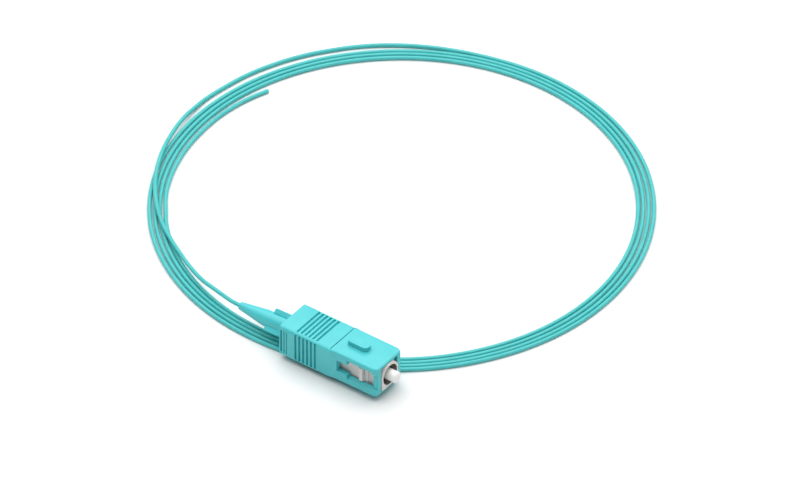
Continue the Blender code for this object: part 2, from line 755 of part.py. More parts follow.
def build_all():
    """Make every piece of the pigtail."""
    clear_scene()
    aqua = make_material("aqua_plastic", AQUA, 0.38)
    buffer_jacket = make_material("fibre_buffer", AQUA_FIBRE, 0.42)
    ivory = make_material("ivory_plastic", IVORY, 0.45)
    ceramic = make_material("ceramic", CERAMIC_WHITE, 0.18)
    nickel = make_material("nickel_plate", NICKEL, 0.3, 1.0)
    steel = make_material("spring_steel", SPRING_STEEL, 0.35, 1.0)
    build_outer_housing(aqua)
    build_plug_frame(ivory)
    build_ferrule(ceramic)
    build_ferrule_flange(nickel)
    build_spring(steel)
    build_rear_body(ivory)
    build_boot(aqua)
    build_lead(buffer_jacket)
    build_coil(buffer_jacket)
    build_tail(buffer_jacket)


build_all()
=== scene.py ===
import math

import bmesh
import bpy
from mathutils import Matrix, Vector


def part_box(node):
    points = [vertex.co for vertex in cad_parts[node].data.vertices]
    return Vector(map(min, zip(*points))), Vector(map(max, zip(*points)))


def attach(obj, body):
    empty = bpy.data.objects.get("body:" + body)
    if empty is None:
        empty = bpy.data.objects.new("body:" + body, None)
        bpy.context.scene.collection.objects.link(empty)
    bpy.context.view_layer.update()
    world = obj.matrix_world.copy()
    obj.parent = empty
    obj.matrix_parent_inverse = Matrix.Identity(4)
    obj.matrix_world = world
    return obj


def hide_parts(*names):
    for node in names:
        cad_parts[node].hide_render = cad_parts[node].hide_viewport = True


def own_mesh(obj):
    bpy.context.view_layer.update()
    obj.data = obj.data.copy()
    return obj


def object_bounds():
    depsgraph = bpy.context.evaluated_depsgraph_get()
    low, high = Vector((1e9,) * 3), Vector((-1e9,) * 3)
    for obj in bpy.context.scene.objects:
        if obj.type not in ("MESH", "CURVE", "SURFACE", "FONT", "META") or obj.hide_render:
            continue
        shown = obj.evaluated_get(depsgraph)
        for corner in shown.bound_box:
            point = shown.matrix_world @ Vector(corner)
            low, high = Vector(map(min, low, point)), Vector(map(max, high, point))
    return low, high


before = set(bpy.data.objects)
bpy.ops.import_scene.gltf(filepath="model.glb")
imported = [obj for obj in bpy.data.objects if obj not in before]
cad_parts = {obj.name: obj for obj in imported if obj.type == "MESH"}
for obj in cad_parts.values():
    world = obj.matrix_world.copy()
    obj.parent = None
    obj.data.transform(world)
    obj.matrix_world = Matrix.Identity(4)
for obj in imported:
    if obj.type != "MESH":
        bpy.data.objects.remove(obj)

MM = 0.001

# Camera, as the photograph was taken
CAMERA_AZIMUTH = 36.4
CAMERA_ELEVATION = 39.6
CAMERA_DISTANCE = 4000.0
CAMERA_TARGET_X = -27.94
CAMERA_TARGET_Y = 38.50
VIEW_WIDTH = 166.67
SENSOR_WIDTH = 36.0
CLIP_START_METRES = 0.1
CLIP_END_METRES = 50.0

# Lights and floor, with sizes and places in metres
SOFTBOX_SIZE = 2.2
SOFTBOX_WATTS = 36.0
SOFTBOX_AWAY = 0.25
SOFTBOX_HEIGHT = 1.2
FILL_SIZE = 0.8
FILL_WATTS = 0.5
FILL_NEARER = 1.2
FILL_SIDE = 0.3
FILL_HEIGHT = 0.9
SURROUND_STRENGTH = 0.24
FLOOR_HALF = 3.0
FLOOR_SHADE = 0.82
FLOOR_ROUGHNESS = 0.9
FLOOR_SPECULAR = 0.1

# Finishes
PATCH_SCALE = 260.0
PATCH_DETAIL = 3.0
PATCH_LOW = 0.3
PATCH_HIGH = 0.7
GRAIN_DETAIL = 2.0
GRAIN_STRENGTH = 0.5

# Fibre: its coil, the lead from the boot and the tail, as the CAD solids lie
FIBRE_DIAMETER = 0.9
FIBRE_START_INSIDE = 2.0
FIBRE_CLEAR_OF_BOOT = 0.3
COIL_CENTRE_X = -35.76
COIL_CENTRE_Y = 49.67
COIL_OUTER_TURN_RADIUS = 52.7
COIL_PITCH = 1.09
LAST_TURN = 4
LEAD_ROUTE = [
    (261.4, 49.88, 4.20),
    (257.7, 49.47, 3.70),
    (253.4, 49.16, 3.10),
    (248.9, 49.14, 2.55),
    (242.8, 49.00, 2.05),
    (235.5, 49.15, 1.75),
    (229.0, 49.75, 1.66),
    (223.5, 50.45, 1.66),
    (217.5, 51.10, 1.66),
    (211.0, 51.75, 1.66),
    (204.4, 52.35, 1.68),
    (197.0, 52.90, 1.68),
    (190.0, 53.38, 1.54),
    (184.5, 53.85, 1.25),
    (179.5, 54.20, 0.75),
    (173.5, 54.42, 0.47),
    (163.3, 54.40, 0.45),
    (154.3, 54.30, 0.45),
    (147.0, 54.15, 0.45),
    (141.0, 54.00, 0.45),
]
TAIL_ROUTE = [
    (222.0, 49.43),
    (212.0, 49.40),
    (204.4, 49.30),
    (197.0, 49.12),
    (189.4, 48.90),
    (181.0, 48.66),
    (174.4, 48.42),
    (168.0, 48.02),
    (162.6, 47.60),
]
LEAD_SETTLES_BY = 102.0
SHIFT_STARTS = 222.0
SHIFT_ENDS = 122.0
BULGE = 0.3
BULGE_RISES = (265.0, 285.0)
BULGE_FALLS = (300.0, 330.0)
TURN_WOBBLE = 0.04
WOBBLES_PER_TURN = 2.0
WOBBLE_OFFSET = 97.0
WOBBLE_SETTLES = 60.0
TURN_STEP = 2.0
CURVE_STEPS = 6
FIBRE_RESOLUTION = 6
CUT_FACETS = 24
COATING_RADIUS = 0.125
GLASS_RADIUS = 0.0625
CUT_EDGE_INSET = 0.06
CUT_FACE_INSET = 0.12
CUT_FACE_RISE = 0.02
GLASS_RISE = 0.03

# Outer housing
HOUSING_LENGTH = 24.9
HOUSING_WIDTH = 9.0
HOUSING_HEIGHT = 7.4
HOUSING_EDGE_RADIUS = 0.5
NOSE_LENGTH = 1.3
NOSE_SIDE_INSET = 0.85
NOSE_TOP_INSET = 0.25
NOSE_BOTTOM_INSET = 0.5
GRIP_STATION = 11.85
GRIP_PROUD = 0.15
GRIP_SIDE_RAMP = 1.6
GRIP_STEP = 0.075
GRIP_TOP_EDGE_RADIUS = 0.9
SEAM_STATION = 11.89
SEAM_WIDTH = 0.17
SEAM_DEPTH = 0.2
CAVITY_WIDTH = 6.5
CAVITY_HEIGHT = 6.1
CAVITY_CORNER_RADIUS = 0.25
FRONT_LIP_WIDTH = 5.7
FRONT_LIP_BOTTOM = -2.9
FRONT_LIP_DEPTH = 0.9
FRONT_LIP_STEP = 0.05
KEY_STATION = 5.05
KEY_LENGTH = 4.75
KEY_WIDTH = 2.2
KEY_HEIGHT = 1.1
KEY_NOSE_RADIUS = 1.0
WINDOW_STATION = 1.2
WINDOW_LENGTH = 6.4
WINDOW_TOP = 2.65
WINDOW_BOTTOM = -2.35
WINDOW_SILL_RISE = 0.55
SLOT_LENGTH = 2.6
SLOT_HEIGHT = 2.7
PILLAR_RECESS_STATION = 0.1
PILLAR_RECESS_DEPTH = 0.6
GROOVE_COUNT = 6
GROOVE_STATION = 15.45
GROOVE_PITCH = 1.0
GROOVE_WIDTH = 0.5
GROOVE_DEPTH = 0.5
GROOVE_TOP_MARGIN = 0.75
GROOVE_SIDE_MARGIN = 0.5
POCKET_STATION = 22.9
POCKET_LENGTH = 1.7
POCKET_DEPTH = 0.15
POCKET_SLIT_WIDTHS = (0.2, 0.2, 0.3)
POCKET_SLIT_BACKS = (0.25, 0.95, 1.7)
POCKET_SLIT_DEPTH = 0.5
POCKET_END_MARGIN = 0.9

# Plug frame
FRAME_WIDTH = 6.0
FRAME_HEIGHT = 5.6
FRAME_LENGTH = 18.15
FRAME_REACH = 0.25
FRAME_ARCH_WIDTH = 5.5
FRAME_ARCH_RADIUS = 2.65
FRAME_ARCH_TOP = 2.95
FRAME_ARCH_LENGTH = 3.1
FRAME_ARCH_STEP = 0.2
FRAME_TOP_RADIUS = 1.2
FRAME_BOTTOM_RADIUS = 0.3
FRAME_BORE = 4.7
FRONT_BORE_DEPTH = 6.55
WEB_THICKNESS = 0.8
WEB_HOLE = 3.3
RIB_STATION = 3.9
RIB_LENGTH = 1.2
RIB_PROUD = 0.75
RIB_RAMP = 0.35
RIB_HEIGHT = 3.4

# Ferrule
FERRULE_RADIUS = 1.25
FERRULE_TIP_CHAMFER = 0.35
FERRULE_EDGE_ROUND = 0.08
BONDED_FIBRE_RADIUS = 0.0625
BOND_RADIUS = 0.11

# Boot
BOOT_COLLAR_RADIUS = 2.7
BOOT_COLLAR_LENGTH = 4.6
BOOT_SOCKET_RADIUS = 1.8
BOOT_SOCKET_DEPTH = 3.8
BOOT_CORE_RADIUS = 1.8
BOOT_CORE_LENGTH = 6.9
BOOT_SHOULDER_ROUND = 0.5
BOOT_TIP_RADIUS = 0.85
BOOT_TIP_ROUND = 0.2
BOOT_BORE_RADIUS = 0.52
BOOT_SAG = 0.6
BOOT_SAG_RUN = 2.2
BOOT_BEND_STEPS = 18
FINGER_SAG = 0.2
UPPER_FINGER_LENGTH = 5.3
LOWER_FINGER_LENGTH = 5.9
UPPER_FINGER_OUTER_RADIUS = 2.45
UPPER_FINGER_THICKNESS = 1.15
LOWER_FINGER_OUTER_RADIUS = 2.8
LOWER_FINGER_INNER_RADIUS = 1.2
FINGER_WIDTH = 1.7
FINGER_ROOT = 0.7
FINGER_ROLL_DEGREES = 45.0
FINGER_END_ROUND = 0.3

# Edge rounding and smoothness of round shapes
EDGE_ROUND = 0.07
EDGE_ROUND_DEGREES = 40.0
EDGE_ROUND_SEGMENTS = 2
ROUND_FACETS = 72
CORNER_STEPS = 6
CAVITY_CORNER_STEPS = 3
FRAME_CORNER_STEPS = 10
SMOOTH_DEGREES = 32.0
FLAT_DEGREES = 0.5
OVERSHOOT = 1.0

# Tolerances, and the share of a normal along X below which a face lies round the axis
BUILD_MERGE = 0.0005
SHAPED_MERGE = 0.002
FACE_TOLERANCE = 0.01
ROUND_NORMAL_SHARE = 0.5

# Places that come from the frame or from the values above
BOOT_LOW, BOOT_HIGH = (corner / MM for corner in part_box("boot"))
FERRULE_LOW, FERRULE_HIGH = (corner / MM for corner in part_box("ferrule"))
HOUSING_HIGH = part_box("outer_housing")[1] / MM
CAD_LOW, CAD_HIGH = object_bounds()
FLOOR_Z = CAD_LOW.z / MM
GRIP_WIDTH = HOUSING_WIDTH + 2 * GRIP_PROUD
HOUSING_TOP = HOUSING_HEIGHT / 2
HOUSING_BOTTOM = -HOUSING_TOP
GRIP_BOTTOM = HOUSING_BOTTOM - GRIP_PROUD
CAVITY_TOP = CAVITY_HEIGHT / 2
FRAME_FRONT = -FRAME_REACH
FRAME_BACK = FRAME_FRONT + FRAME_LENGTH
FRAME_TOP = FRAME_HEIGHT / 2
FRONT_BORE_FLOOR = FRAME_FRONT + FRONT_BORE_DEPTH
WEB_BACK = FRONT_BORE_FLOOR + WEB_THICKNESS
BOOT_FRONT = HOUSING_HIGH.x - BOOT_HIGH.x
BOOT_BACK = HOUSING_HIGH.x - BOOT_LOW.x
BOOT_COLLAR_BACK = BOOT_FRONT + BOOT_COLLAR_LENGTH
SIDES = (1, -1)


def along(station):
    """X in millimetres of a station behind the housing's front plane."""
    return HOUSING_HIGH.x - station


def smoothstep(value, start, end):
    """Share from 0 at start to 1 at end, eased at both."""
    share = min(max((value - start) / (end - start), 0.0), 1.0)
    return share * share * (3 - 2 * share)


# Camera, light and floor

def view_direction():
    """Unit vector from the target back to the camera."""
    azimuth = math.radians(CAMERA_AZIMUTH)
    elevation = math.radians(CAMERA_ELEVATION)
    level = math.cos(elevation)
    return Vector((math.sin(azimuth) * level, -math.cos(azimuth) * level, math.sin(elevation)))


def build_camera():
    """Long lens at the photograph's viewing angle."""
    data = bpy.data.cameras.new("camera")
    data.sensor_width = SENSOR_WIDTH
    data.lens = SENSOR_WIDTH * CAMERA_DISTANCE / VIEW_WIDTH
    data.clip_start = CLIP_START_METRES
    data.clip_end = CLIP_END_METRES
    camera = bpy.data.objects.new("camera", data)
    back = view_direction()
    target = Vector((CAMERA_TARGET_X, CAMERA_TARGET_Y, FLOOR_Z))
    camera.location = (target + back * CAMERA_DISTANCE) * MM
    camera.rotation_euler = (-back).to_track_quat("-Z", "Y").to_euler()
    bpy.context.scene.collection.objects.link(camera)
    bpy.context.scene.camera = camera


def build_light(name, place, aim, size, watts):
    """Square soft light that looks at a point, all in metres."""
    data = bpy.data.lights.new(name, "AREA")
    data.shape = "SQUARE"
    data.size = size
    data.energy = watts
    light = bpy.data.objects.new(name, data)
    light.location = place
    light.rotation_euler = (Vector(aim) - Vector(place)).to_track_quat("-Z", "Y").to_euler()
    bpy.context.scene.collection.objects.link(light)


def build_studio():
    """Large softbox overhead, weak fill from the camera's side and a white surround."""
    middle = Vector((COIL_CENTRE_X, COIL_CENTRE_Y, FLOOR_Z)) * MM
    away = -view_direction()
    away.z = 0
    away.normalize()
    overhead = middle + away * SOFTBOX_AWAY + Vector((0, 0, SOFTBOX_HEIGHT))
    nearer = middle - away * FILL_NEARER + Vector((FILL_SIDE, 0, FILL_HEIGHT))
    build_light("softbox", overhead, middle, SOFTBOX_SIZE, SOFTBOX_WATTS)
    build_light("fill", nearer, middle, FILL_SIZE, FILL_WATTS)
    world = bpy.data.worlds.new("studio")
    world.use_nodes = True
    background = world.node_tree.nodes["Background"]
    background.inputs["Color"].default_value = (1.0, 1.0, 1.0, 1.0)
    background.inputs["Strength"].default_value = SURROUND_STRENGTH
    bpy.context.scene.world = world
    bpy.context.scene.view_settings.view_transform = "Standard"


def build_floor():
    """Plain pale floor under the coil."""
    half = FLOOR_HALF
    mesh = bpy.data.meshes.new("floor")
    corners = [(-half, -half, 0), (half, -half, 0), (half, half, 0), (-half, half, 0)]
    mesh.from_pydata(corners, [], [(0, 1, 2, 3)])
    floor = bpy.data.objects.new("floor", mesh)
    floor.location = (0, 0, FLOOR_Z * MM)
    bpy.context.scene.collection.objects.link(floor)
    material = bpy.data.materials.new("pale_floor")
    material.use_nodes = True
    shader = material.node_tree.nodes["Principled BSDF"]
    shader.inputs["Base Color"].default_value = (FLOOR_SHADE, FLOOR_SHADE, FLOOR_SHADE, 1.0)
    shader.inputs["Roughness"].default_value = FLOOR_ROUGHNESS
    shader.inputs["Specular IOR Level"].default_value = FLOOR_SPECULAR
    mesh.materials.append(material)


# Materials

def finish_material(name, colours, roughness, grain_size, grain_depth, metallic=0.0):
    """Moulded or drawn surface: two close colours in soft patches, fine grain and uneven gloss.

    The grain's size and depth are in millimetres.
    """
    material = bpy.data.materials.new(name)
    material.use_nodes = True
    nodes = material.node_tree.nodes
    links = material.node_tree.links
    shader = nodes["Principled BSDF"]
    place = nodes.new("ShaderNodeTexCoord")
    patches = nodes.new("ShaderNodeTexNoise")
    patches.inputs["Scale"].default_value = PATCH_SCALE
    patches.inputs["Detail"].default_value = PATCH_DETAIL
    links.new(place.outputs["Object"], patches.inputs["Vector"])
    tint = nodes.new("ShaderNodeValToRGB")
    for stop, position, colour in zip(tint.color_ramp.elements, (PATCH_LOW, PATCH_HIGH), colours):
        stop.position = position
        stop.color = (*colour, 1.0)
    links.new(patches.outputs["Fac"], tint.inputs["Fac"])
    links.new(tint.outputs["Color"], shader.inputs["Base Color"])
    grain = nodes.new("ShaderNodeTexNoise")
    grain.inputs["Scale"].default_value = 1.0 / (grain_size * MM)
    grain.inputs["Detail"].default_value = GRAIN_DETAIL
    links.new(place.outputs["Object"], grain.inputs["Vector"])
    gloss = nodes.new("ShaderNodeMapRange")
    gloss.inputs["To Min"].default_value = roughness[0]
    gloss.inputs["To Max"].default_value = roughness[1]
    links.new(grain.outputs["Fac"], gloss.inputs["Value"])
    links.new(gloss.outputs["Result"], shader.inputs["Roughness"])
    bump = nodes.new("ShaderNodeBump")
    bump.inputs["Strength"].default_value = GRAIN_STRENGTH
    bump.inputs["Distance"].default_value = grain_depth * MM
    links.new(grain.outputs["Fac"], bump.inputs["Height"])
    links.new(bump.outputs["Normal"], shader.inputs["Normal"])
    shader.inputs["Metallic"].default_value = metallic
    return material


def build_materials():
    """Every finish by the record's slot name."""
    return {
        "aqua_plastic": finish_material(
            "aqua_plastic", ((0.060, 0.53, 0.56), (0.070, 0.565, 0.595)), (0.33, 0.43), 0.35, 0.004,
        ),
        "fibre_buffer": finish_material(
            "fibre_buffer", ((0.052, 0.48, 0.475), (0.066, 0.52, 0.515)), (0.34, 0.46), 0.30, 0.004,
        ),
        "ivory_plastic": finish_material(
            "ivory_plastic", ((0.70, 0.665, 0.645), (0.76, 0.73, 0.71)), (0.38, 0.50), 0.35, 0.004,
        ),
        # Darker ivory: painted shade for the walls of the frame's deep bore
        "ivory_painted_shade": finish_material(
            "ivory_painted_shade", ((0.17, 0.155, 0.14), (0.21, 0.195, 0.18)), (0.42, 0.54), 0.35, 0.004,
        ),
        "ceramic": finish_material(
            "ceramic", ((0.86, 0.86, 0.85), (0.90, 0.90, 0.89)), (0.12, 0.20), 0.20, 0.0005,
        ),
        "nickel_plate": finish_material(
            "nickel_plate", ((0.62, 0.60, 0.56), (0.70, 0.68, 0.64)), (0.22, 0.36), 0.15, 0.002, 1.0,
        ),
        "spring_steel": finish_material(
            "spring_steel", ((0.50, 0.50, 0.52), (0.60, 0.60, 0.62)), (0.24, 0.40), 0.12, 0.002, 1.0,
        ),
        "glass_core": finish_material(
            "glass_core", ((0.25, 0.27, 0.28), (0.32, 0.34, 0.35)), (0.04, 0.08), 0.10, 0.0002,
        ),
        "epoxy_ring": finish_material(
            "epoxy_ring", ((0.42, 0.33, 0.20), (0.50, 0.40, 0.26)), (0.20, 0.30), 0.10, 0.0005,
        ),
    }


# Fibre

def coil_place(degrees, radius, height):
    """Place in millimetres of an angle and radius about the coil's centre and a height."""
    angle = math.radians(degrees)
    x = COIL_CENTRE_X + radius * math.cos(angle)
    y = COIL_CENTRE_Y + radius * math.sin(angle)
    return Vector((x, y, FLOOR_Z + height))


def smooth_curve(places, steps):
    """Points of a smooth curve that passes through every place."""
    padded = [2 * places[0] - places[1]] + places + [2 * places[-1] - places[-2]]
    points = []
    for before, start, end, after in zip(padded, padded[1:], padded[2:], padded[3:]):
        for step in range(steps):
            t = step / steps
            points.append(
                0.5 * (
                    2 * start + (end - before) * t
                    + (2 * before - 5 * start + 4 * end - after) * t ** 2
                    + (3 * start - before - 3 * end + after) * t ** 3
                )
            )
    points.append(places[-1])
    return points


def turn_radius(turned):
    """Radius of the coiled fibre at an angle that falls by 360 degrees with each turn."""
    turn = math.floor((SHIFT_STARTS - turned) / 360.0)
    degrees = turned + 360.0 * turn
    slot = turn + smoothstep(SHIFT_STARTS - degrees, 0.0, SHIFT_STARTS - SHIFT_ENDS)
    radius = COIL_OUTER_TURN_RADIUS - (slot - 1) * COIL_PITCH
    if turn == 0:
        lead_end = LEAD_ROUTE[-1]
        share = smoothstep(lead_end[0] - degrees, 0.0, lead_end[0] - LEAD_SETTLES_BY)
        radius = lead_end[1] + (COIL_OUTER_TURN_RADIUS - lead_end[1]) * share
    around = degrees % 360.0
    bulge = smoothstep(around, *BULGE_RISES) * (1 - smoothstep(around, *BULGE_FALLS))
    settled = smoothstep(LEAD_ROUTE[-1][0] - turned, 0.0, WOBBLE_SETTLES)
    phase = math.radians(WOBBLES_PER_TURN * degrees + WOBBLE_OFFSET * turn)
    wobble = TURN_WOBBLE * settled * math.sin(phase)
    return radius + BULGE * bulge + wobble


def fibre_points():
    """Centreline of the whole fibre in millimetres, from inside the boot to the cut end."""
    stations = (BOOT_BACK - FIBRE_START_INSIDE, BOOT_BACK + FIBRE_CLEAR_OF_BOOT)
    lead = [Vector((along(station), 0, -sag_at(station, BOOT_SAG))) for station in stations]
    lead += [coil_place(*point) for point in LEAD_ROUTE]
    points = smooth_curve(lead, CURVE_STEPS)
    lies_at = FIBRE_DIAMETER / 2
    tail_starts = TAIL_ROUTE[0][0] - 360.0 * LAST_TURN
    turned = LEAD_ROUTE[-1][0] - TURN_STEP
    while turned > tail_starts + TURN_STEP / 2:
        points.append(coil_place(turned, turn_radius(turned), lies_at))
        turned -= TURN_STEP
    tail = [coil_place(degrees, radius, lies_at) for degrees, radius in TAIL_ROUTE]
    return points + smooth_curve(tail, CURVE_STEPS)


def build_fibre(materials):
    """The fibre: one curve from inside the boot, round its coil, to the cut end."""
    points = fibre_points()
    curve = bpy.data.curves.new("fibre", "CURVE")
    curve.dimensions = "3D"
    curve.bevel_depth = FIBRE_DIAMETER / 2 * MM
    curve.bevel_resolution = FIBRE_RESOLUTION
    curve.use_fill_caps = True
    spline = curve.splines.new("POLY")
    spline.points.add(len(points) - 1)
    for point, place in zip(spline.points, points):
        point.co = (*(place * MM), 1.0)
    spline.use_smooth = True
    curve.materials.append(materials["fibre_buffer"])
    fibre = bpy.data.objects.new("fibre", curve)
    bpy.context.scene.collection.objects.link(fibre)
    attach(fibre, "plug")
    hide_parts("fibre_lead", "fibre_coil", "fibre_tail")
    cut_end = build_cut_end(points, materials)


def build_cut_end(points, materials):
    """Thin face on the cut end that shows the coated glass inside the buffer."""
    direction = (points[-1] - points[-2]).normalized()
    rings = (
        (FIBRE_DIAMETER / 2 - CUT_EDGE_INSET, 0.0), (FIBRE_DIAMETER / 2 - CUT_FACE_INSET, CUT_FACE_RISE),
        (COATING_RADIUS, CUT_FACE_RISE), (GLASS_RADIUS, GLASS_RISE),
    )
    slots = (0, 0, 1, 2)
    bm = bmesh.new()
    loops = []
    facets = CUT_FACETS
    for radius, rise in rings:
        loop = []
        for step in range(facets):
            angle = 2 * math.pi * step / facets
            loop.append(bm.verts.new((radius * math.cos(angle), radius * math.sin(angle), rise)))
        loops.append(loop)
    for index, (outer, inner) in enumerate(zip(loops, loops[1:])):
        for step in range(facets):
            after = (step + 1) % facets
            face = bm.faces.new((outer[step], outer[after], inner[after], inner[step]))
            face.material_index = slots[index + 1] if index else 0
    bm.faces.new(loops[-1]).material_index = 2
    bm.faces.new(loops[0][::-1])
    turn = direction.to_track_quat("Z", "Y").to_matrix().to_4x4()
    bmesh.ops.transform(bm, matrix=Matrix.Translation(points[-1]) @ turn, verts=bm.verts)
    names = ("fibre_buffer", "ceramic", "glass_core")
    finishes = [materials[name] for name in names]
    return finish_piece("fibre_cut_end", bm, finishes, "plug")


# Mesh helpers

def finish_piece(name, bm, materials, body=None):
    """Turn a bmesh in millimetres into a named object in metres, on a body where one is given."""
    bmesh.ops.remove_doubles(bm, verts=bm.verts, dist=BUILD_MERGE)
    bmesh.ops.recalc_face_normals(bm, faces=bm.faces)
    bmesh.ops.scale(bm, verts=bm.verts, vec=(MM, MM, MM))
    mesh = bpy.data.meshes.new(name)
    bm.to_mesh(mesh)
    bm.free()
    mesh.shade_smooth()
    mesh.set_sharp_from_angle(angle=math.radians(SMOOTH_DEGREES))
    for material in materials:
        mesh.materials.append(material)
    piece = bpy.data.objects.new(name, mesh)
    bpy.context.scene.collection.objects.link(piece)
    if body:
        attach(piece, body)
    return piece


def rounded_outline(width, top, bottom, top_radius, bottom_radius, steps=CORNER_STEPS):
    """Points (y, z) round a rectangle with rounded corners, between two heights."""
    half = width / 2
    corners = [
        (half - top_radius, top - top_radius, top_radius, 0.0),
        (-half + top_radius, top - top_radius, top_radius, 90.0),
        (-half + bottom_radius, bottom + bottom_radius, bottom_radius, 180.0),
        (half - bottom_radius, bottom + bottom_radius, bottom_radius, 270.0),
    ]
    points = []
    for centre_y, centre_z, radius, start in corners:
        for step in range(steps + 1):
            angle = math.radians(start + 90.0 * step / steps)
            points.append((centre_y + radius * math.cos(angle), centre_z + radius * math.sin(angle)))
    return points


def loft_sections(bm, sections):
    """Closed body through outlines (y, z), each at its own station."""
    loops = []
    for station, outline in sections:
        loops.append([bm.verts.new((along(station), y, z)) for y, z in outline])
    count = len(loops[0])
    for front, back in zip(loops, loops[1:]):
        for i in range(count):
            j = (i + 1) % count
            bm.faces.new((front[i], front[j], back[j], back[i]))
    bm.faces.new(loops[0])
    bm.faces.new(loops[-1])


def sag_at(station, depth):
    """How far the boot hangs below the axis at a station, given its depth at the far end."""
    run = max(station - BOOT_COLLAR_BACK, 0.0)
    return depth * (1 - math.exp(-run / BOOT_SAG_RUN))


def sag_form(bm, depth):
    """Lower a form in millimetres by the sag of its depth."""
    for vert in bm.verts:
        vert.co.z -= sag_at(HOUSING_HIGH.x - vert.co.x, depth)


def turned_on_axis(name, profile, closed, sag=0.0):
    """Mesh turned about the plug's axis from a profile of (station, radius) points."""
    bm = bmesh.new()
    verts = [bm.verts.new((along(station), 0.0, radius)) for station, radius in profile]
    edges = [bm.edges.new(pair) for pair in zip(verts, verts[1:])]
    if closed:
        edges.append(bm.edges.new((verts[-1], verts[0])))
    bmesh.ops.spin(
        bm, geom=verts + edges, cent=(0, 0, 0), axis=(1, 0, 0), dvec=(0, 0, 0),
        angle=2 * math.pi, steps=ROUND_FACETS, use_merge=True, use_duplicate=False,
    )
    sag_form(bm, sag)
    return finish_piece(name, bm, [])


def box_between(bm, low, high):
    """Box between two corners, in millimetres."""
    low = Vector(low)
    high = Vector(high)
    size = high - low
    matrix = Matrix.Translation((low + high) / 2) @ Matrix.Diagonal((*size, 1.0))
    bmesh.ops.create_cube(bm, size=1.0, matrix=matrix)


def prism(bm, outline, direction):
    """Extrude a flat outline of 3-D points along a direction."""
    base = bm.faces.new([bm.verts.new(point) for point in outline])
    result = bmesh.ops.extrude_face_region(bm, geom=[base])
    moved = [item for item in result["geom"] if isinstance(item, bmesh.types.BMVert)]
    bmesh.ops.translate(bm, verts=moved, vec=direction)


def shape_with(piece, tool, operation):
    """Join or cut a piece with a tool object, which is then removed."""
    modifier = piece.modifiers.new(tool.name, "BOOLEAN")
    modifier.operation = operation
    modifier.solver = "EXACT"
    modifier.object = tool
    bake_modifiers(piece)
    bpy.data.objects.remove(tool, do_unlink=True)


def bake_modifiers(piece):
    """Replace a piece's mesh by what its modifiers make of it."""
    bpy.context.view_layer.update()
    shaped = piece.evaluated_get(bpy.context.evaluated_depsgraph_get())
    mesh = bpy.data.meshes.new_from_object(shaped)
    piece.modifiers.clear()
    piece.data = mesh


def round_edges(piece):
    """Small rounding along a piece's sharp edges."""
    bm = bmesh.new()
    bm.from_mesh(piece.data)
    bmesh.ops.remove_doubles(bm, verts=bm.verts, dist=SHAPED_MERGE * MM)
    bmesh.ops.dissolve_limit(
        bm, angle_limit=math.radians(FLAT_DEGREES), verts=bm.verts, edges=bm.edges,
        delimit={"MATERIAL"},
    )
    bm.to_mesh(piece.data)
    bm.free()
    bevel = piece.modifiers.new("edge_round", "BEVEL")
    bevel.width = EDGE_ROUND * MM
    bevel.segments = EDGE_ROUND_SEGMENTS
    bevel.limit_method = "ANGLE"
    bevel.angle_limit = math.radians(EDGE_ROUND_DEGREES)
    bevel.use_clamp_overlap = False
    bevel.harden_normals = True
    bevel.miter_outer = "MITER_ARC"


# Outer housing

def housing_envelope():
    """Rounded nose, front part and a grip with ramped sides and rounder top edges."""
    edge = HOUSING_EDGE_RADIUS
    sections = []
    for step in range(CORNER_STEPS + 1):
        angle = math.radians(90.0 * step / CORNER_STEPS)
        share = 1 - math.sin(angle)
        outline = rounded_outline(
            HOUSING_WIDTH - 2 * NOSE_SIDE_INSET * share, HOUSING_TOP - NOSE_TOP_INSET * share,
            HOUSING_BOTTOM + NOSE_BOTTOM_INSET * share, edge, edge,
        )
        sections.append((NOSE_LENGTH * (1 - math.cos(angle)), outline))
    for station, width, bottom, top_edge in (
        (GRIP_STATION - GRIP_SIDE_RAMP, HOUSING_WIDTH, HOUSING_BOTTOM, edge),
        (GRIP_STATION, GRIP_WIDTH, HOUSING_BOTTOM, edge),
        (GRIP_STATION + GRIP_STEP, GRIP_WIDTH, GRIP_BOTTOM, GRIP_TOP_EDGE_RADIUS),
        (HOUSING_LENGTH, GRIP_WIDTH, GRIP_BOTTOM, GRIP_TOP_EDGE_RADIUS),
    ):
        sections.append((station, rounded_outline(width, HOUSING_TOP, bottom, top_edge, edge)))
    bm = bmesh.new()
    loft_sections(bm, sections)
    return finish_piece("housing_shell", bm, [])


def housing_key():
    """Key on the top face, with a rounded nose."""
    bm = bmesh.new()
    half = KEY_WIDTH / 2
    outline = [(KEY_STATION + KEY_LENGTH, -half), (KEY_STATION + KEY_LENGTH, half)]
    for side in SIDES:
        for step in range(CORNER_STEPS + 1):
            turn = step / CORNER_STEPS if side > 0 else 1 - step / CORNER_STEPS
            angle = math.radians(90.0 * turn)
            station = KEY_STATION + KEY_NOSE_RADIUS * (1 - math.sin(angle))
            y = side * (half - KEY_NOSE_RADIUS * (1 - math.cos(angle)))
            outline.append((station, y))
    root_z = HOUSING_TOP - HOUSING_EDGE_RADIUS
    points = [(along(station), y, root_z) for station, y in outline]
    prism(bm, points, (0, 0, KEY_HEIGHT + HOUSING_EDGE_RADIUS))
    return finish_piece("key_form", bm, [])


def housing_cavity():
    """Through passage that the plug frame slides in, a little narrower at its front lip."""
    corner = CAVITY_CORNER_RADIUS
    steps = CAVITY_CORNER_STEPS
    lip = rounded_outline(FRONT_LIP_WIDTH, CAVITY_TOP, FRONT_LIP_BOTTOM, corner, corner, steps)
    inside = rounded_outline(CAVITY_WIDTH, CAVITY_TOP, -CAVITY_TOP, corner, corner, steps)
    bm = bmesh.new()
    loft_sections(bm, [
        (-OVERSHOOT, lip), (FRONT_LIP_DEPTH, lip), (FRONT_LIP_DEPTH + FRONT_LIP_STEP, inside),
        (HOUSING_LENGTH + OVERSHOOT, inside),
    ])
    return finish_piece("cavity_form", bm, [])


